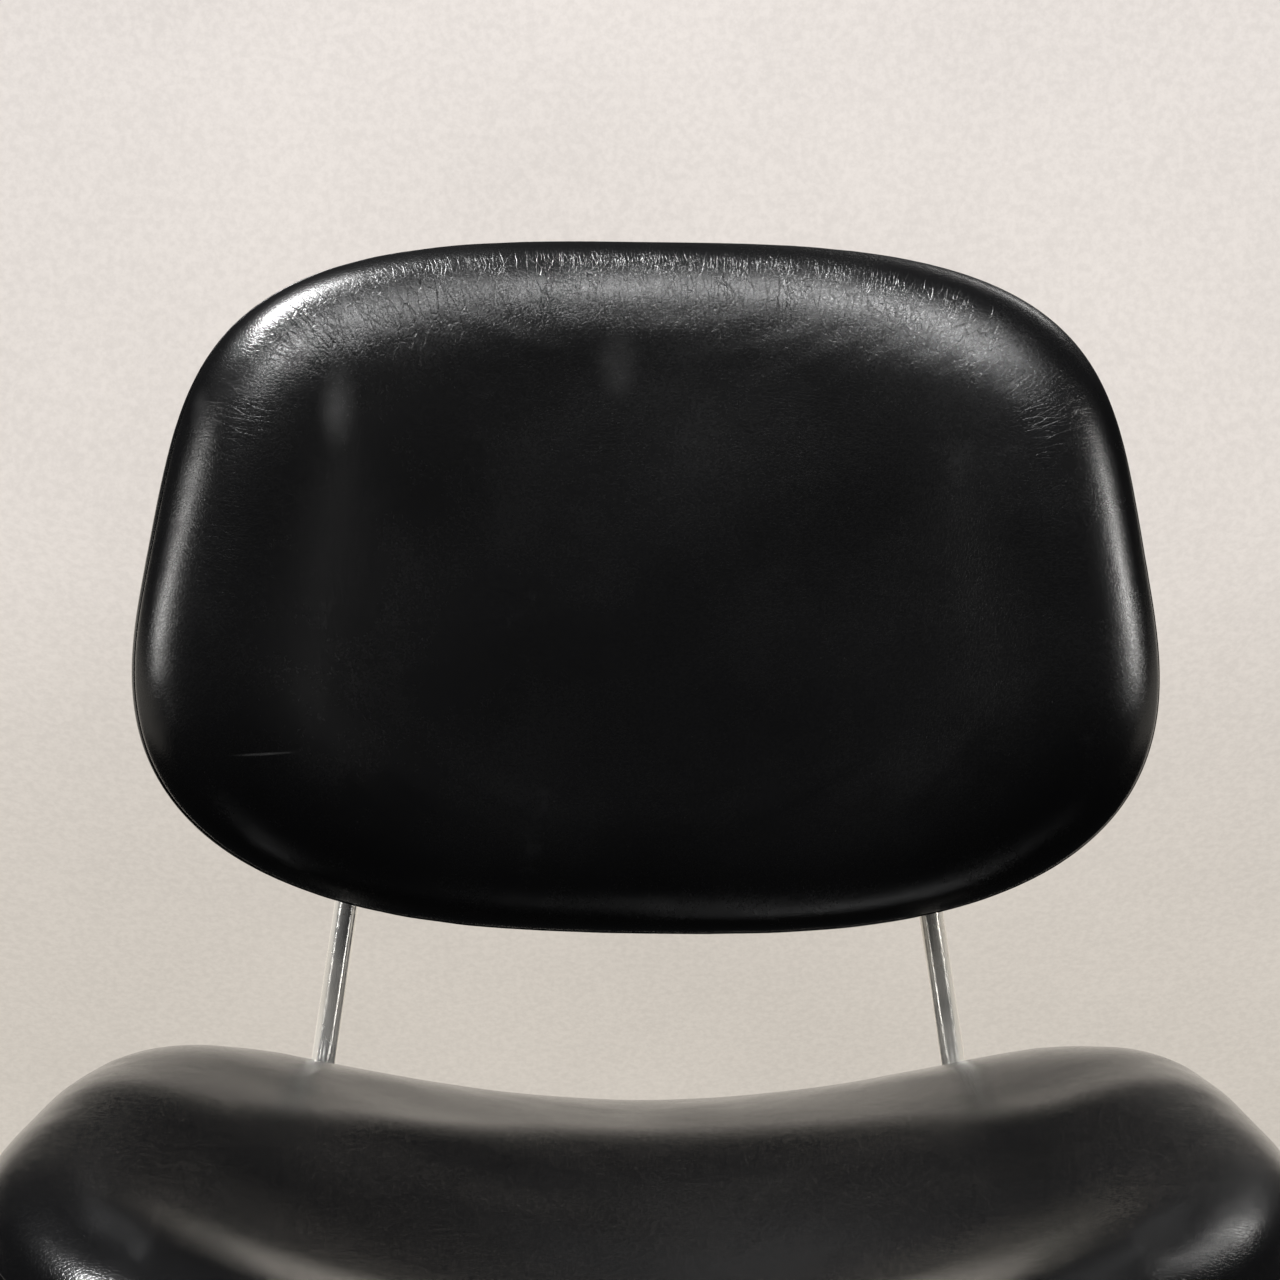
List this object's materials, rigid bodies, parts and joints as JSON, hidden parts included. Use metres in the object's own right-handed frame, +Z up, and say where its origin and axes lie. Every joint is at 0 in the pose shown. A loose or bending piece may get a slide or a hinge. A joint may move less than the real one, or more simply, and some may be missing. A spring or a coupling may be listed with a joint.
{
  "type": "side chair",
  "caption": "Low padded side chair: dished seat and back in black leatherette on rubber mounts, carried by a bent steel rod and tube frame with tilting glides.",
  "frame": {"origin": "on the floor, under the middle of the chair's outer box", "axes": "+Z up, -Y towards the front of the chair, +X to the sitter's left"},
  "size_m": [0.5281, 0.5791, 0.7446],
  "materials": {
    "black_leatherette": "black coated cloth, fine grain, satin sheen",
    "foam": "moulded foam rubber",
    "plywood": "moulded plywood, oiled",
    "dust_cloth": "black woven cambric",
    "black_rubber": "moulded rubber",
    "black_plastic": "moulded",
    "aged_chrome": "chrome plate, pitted, with rust spots",
    "zinc_plated_steel": "zinc plate, dulled"
  },
  "bodies": {
    "chair_frame": {"back_hoop": "aged_chrome", "front_leg_hoop": "aged_chrome", "rear_leg_hoop": "aged_chrome", "frame_welds": "aged_chrome", "ball_stem_front_left": "zinc_plated_steel", "ball_stem_front_right": "zinc_plated_steel", "ball_stem_rear_left": "zinc_plated_steel", "ball_stem_rear_right": "zinc_plated_steel", "tube_plug_front_left": "black_plastic", "tube_plug_front_right": "black_plastic", "tube_plug_rear_left": "black_plastic", "tube_plug_rear_right": "black_plastic", "seat_cover": "black_leatherette", "seat_foam": "foam", "seat_shell": "plywood", "seat_dust_cover": "dust_cloth", "seat_staples": "zinc_plated_steel", "seat_shock_mount_front_left": "black_rubber", "seat_shock_mount_front_right": "black_rubber", "seat_shock_mount_rear_left": "black_rubber", "seat_shock_mount_rear_right": "black_rubber", "seat_mount_core_front_left": "zinc_plated_steel", "seat_mount_core_front_right": "zinc_plated_steel", "seat_mount_core_rear_left": "zinc_plated_steel", "seat_mount_core_rear_right": "zinc_plated_steel", "seat_mount_plate_front_left": "aged_chrome", "seat_mount_plate_front_right": "aged_chrome", "seat_mount_plate_rear_left": "aged_chrome", "seat_mount_plate_rear_right": "aged_chrome", "back_shock_mount_left": "black_rubber", "back_shock_mount_right": "black_rubber", "back_mount_core_left": "zinc_plated_steel", "back_mount_core_right": "zinc_plated_steel", "back_mount_plate_left": "aged_chrome", "back_mount_plate_right": "aged_chrome", "seat_mount_screws": "zinc_plated_steel", "seat_lock_washers": "zinc_plated_steel", "back_mount_screws": "zinc_plated_steel", "back_lock_washers": "zinc_plated_steel"},
    "backrest": {"back_cover": "black_leatherette", "back_foam": "foam", "back_shell": "plywood", "back_rear_panel": "black_leatherette", "back_welt": "black_leatherette"},
    "glide_front_left": {"glide_base_front_left": "zinc_plated_steel"},
    "glide_front_right": {"glide_base_front_right": "zinc_plated_steel"},
    "glide_rear_left": {"glide_base_rear_left": "zinc_plated_steel"},
    "glide_rear_right": {"glide_base_rear_right": "zinc_plated_steel"}
  },
  "joints": [
    {"name": "back_flex", "type": "hinge", "parent": "chair_frame", "child": "backrest", "pos_m": [0, 0.2419, 0.5798], "axis": [1, 0, 0], "range_deg": [-4, 3], "stiffness_Nm_per_rad": 120, "deforming": ["back_shock_mount_left", "back_shock_mount_right"]},
    {"name": "glide_tilt_front_left", "type": "hinge", "parent": "chair_frame", "child": "glide_front_left", "pos_m": [0.25, -0.243, 0.011], "axis": [1, 0, 0], "range_deg": [-8, 8]},
    {"name": "glide_tilt_front_right", "type": "hinge", "parent": "chair_frame", "child": "glide_front_right", "pos_m": [-0.25, -0.243, 0.011], "axis": [1, 0, 0], "range_deg": [-8, 8]},
    {"name": "glide_tilt_rear_left", "type": "hinge", "parent": "chair_frame", "child": "glide_rear_left", "pos_m": [0.244, 0.225, 0.011], "axis": [1, 0, 0], "range_deg": [-8, 8]},
    {"name": "glide_tilt_rear_right", "type": "hinge", "parent": "chair_frame", "child": "glide_rear_right", "pos_m": [-0.244, 0.225, 0.011], "axis": [1, 0, 0], "range_deg": [-8, 8]}
  ]
}
